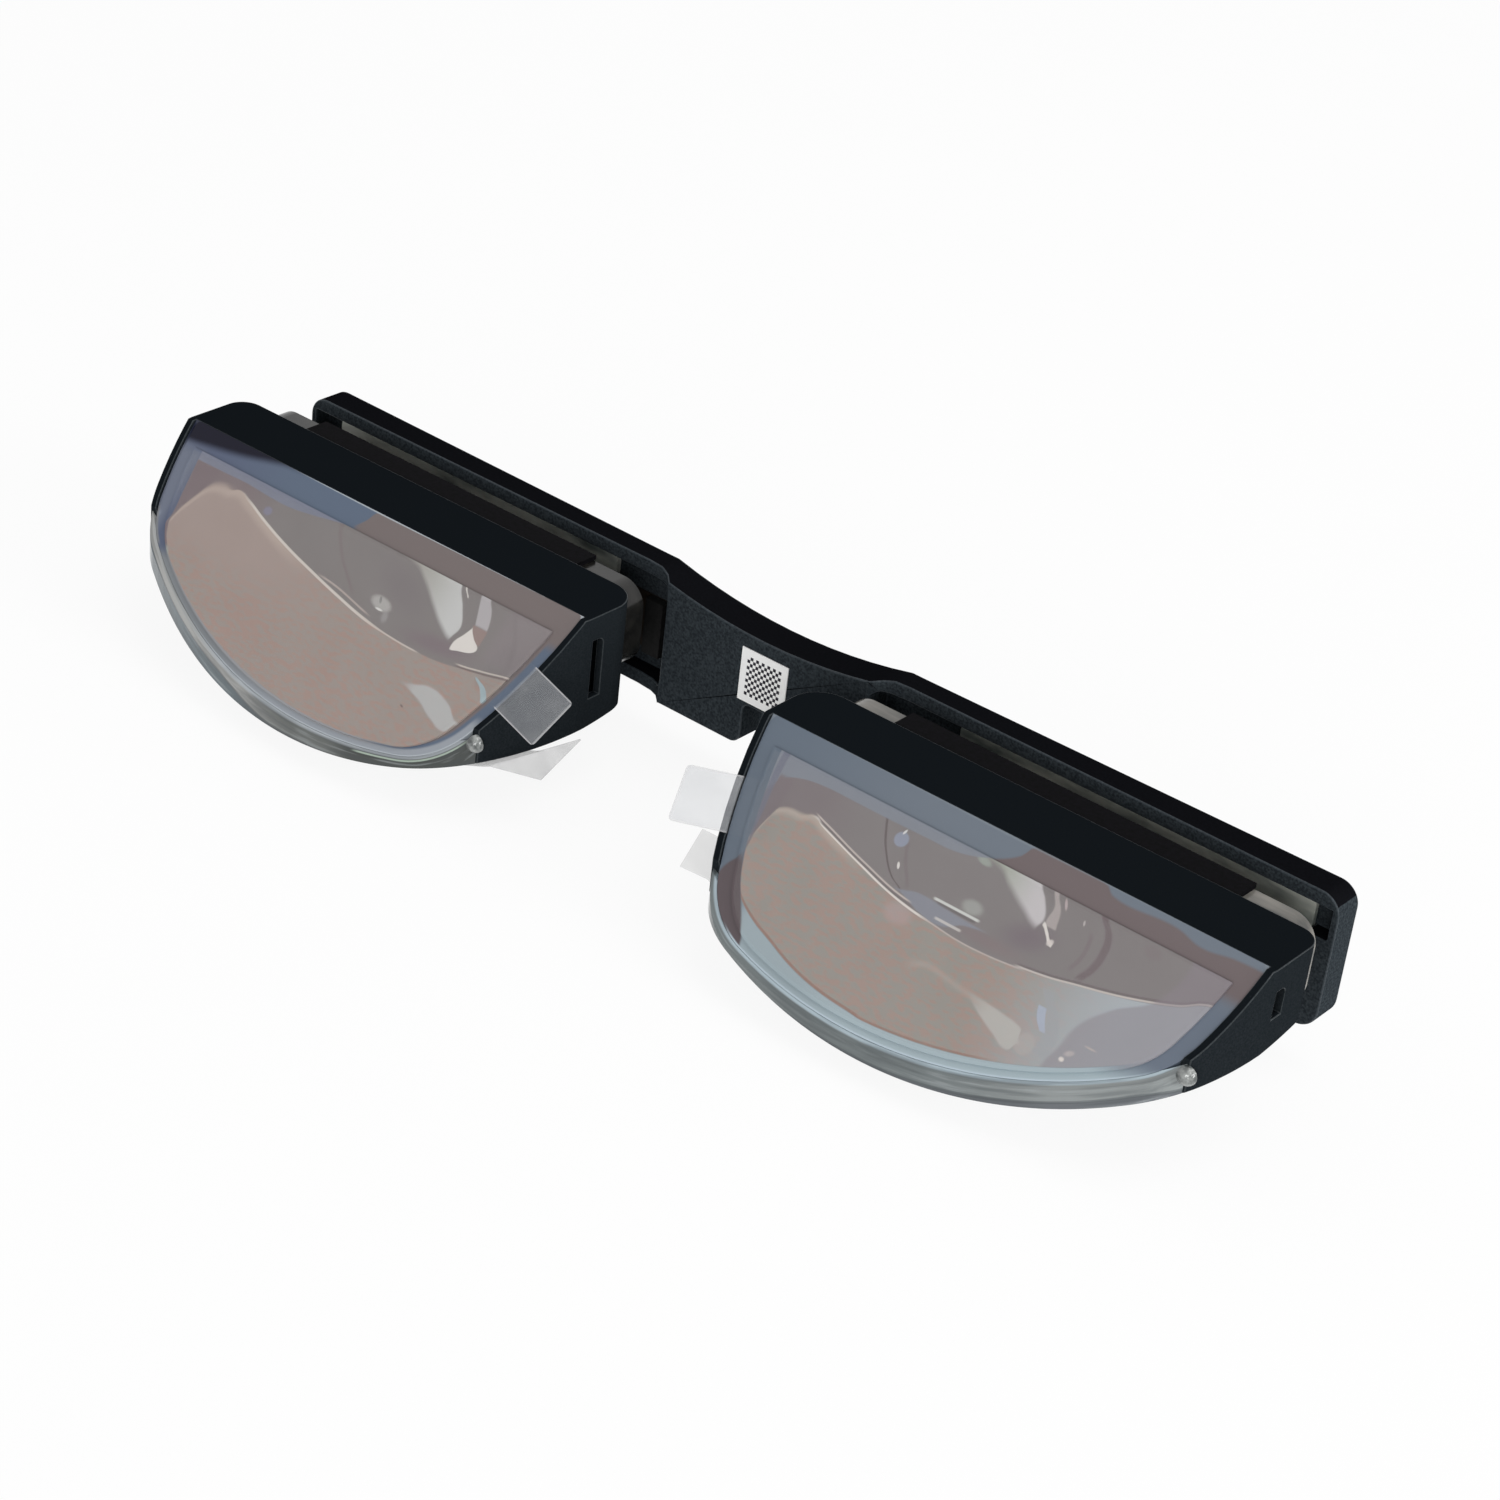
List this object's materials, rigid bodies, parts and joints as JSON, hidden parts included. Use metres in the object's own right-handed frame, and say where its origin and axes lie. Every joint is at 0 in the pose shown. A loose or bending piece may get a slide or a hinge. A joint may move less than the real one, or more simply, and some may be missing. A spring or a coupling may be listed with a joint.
{
  "type": "augmented reality glasses",
  "caption": "Binocular optical engine of augmented reality glasses: D-shaped beam splitter modules hung from a bridge bar, each over a clear curved half mirror.",
  "frame": {"origin": "under the middle of the whole on the plane it lies on, halfway between brow side and lower side", "axes": "+X along the bar from the left module to the right one, +Y towards the brow, +Z from the world side to the wearer's eyes"},
  "size_m": [0.1096, 0.028, 0.016],
  "materials": {
    "bar_black": "fine-textured satin black",
    "housing_black": "satin black",
    "sticker_white": "matt white paper with a plain grid",
    "splitter_glass": "polished, half-mirror coated",
    "polariser_film": "smooth grey film with a faint warm tint",
    "peel_film": "thin clear film, slightly hazy",
    "tab_film": "milky translucent film",
    "mirror_clear": "clear moulded optic, half-mirror coated inside",
    "lens_clear": "clear moulded optic",
    "strip_black": "matt black",
    "adhesive": "cured clear adhesive",
    "cover_clear": "polished",
    "panel_dark": "dark glossy display face",
    "carrier_metal": "plain sheet",
    "ribbon": "flexible ribbon",
    "connector_black": "moulded"
  },
  "bodies": {
    "engine": {"bridge_bar": "bar_black", "label": "sticker_white", "left_housing": "housing_black", "right_housing": "housing_black", "left_splitter": "splitter_glass", "right_splitter": "splitter_glass", "left_polariser": "polariser_film", "right_polariser": "polariser_film", "left_combiner": "mirror_clear", "right_combiner": "mirror_clear", "left_world_film": "peel_film", "right_world_film": "peel_film", "left_world_tab": "tab_film", "right_world_tab": "tab_film", "left_lens": "lens_clear", "right_lens": "lens_clear", "left_shield_tape": "strip_black", "right_shield_tape": "strip_black", "left_glue": "adhesive", "right_glue": "adhesive", "left_cover_glass": "cover_clear", "right_cover_glass": "cover_clear", "left_display": "panel_dark", "right_display": "panel_dark", "left_carrier": "carrier_metal", "right_carrier": "carrier_metal", "left_flex": "ribbon", "right_flex": "ribbon", "left_connector": "connector_black", "right_connector": "connector_black"},
    "left_peel_film": {"left_eye_film": "peel_film", "left_eye_tab": "tab_film"},
    "right_peel_film": {"right_eye_film": "peel_film", "right_eye_tab": "tab_film"}
  },
  "joints": [
    {"name": "left_film_lift", "type": "slide", "parent": "engine", "child": "left_peel_film", "axis": [0, -0.7071, 0.7071], "range_m": [0, 0.012]},
    {"name": "right_film_lift", "type": "slide", "parent": "engine", "child": "right_peel_film", "axis": [0, -0.7071, 0.7071], "range_m": [0, 0.012]}
  ]
}
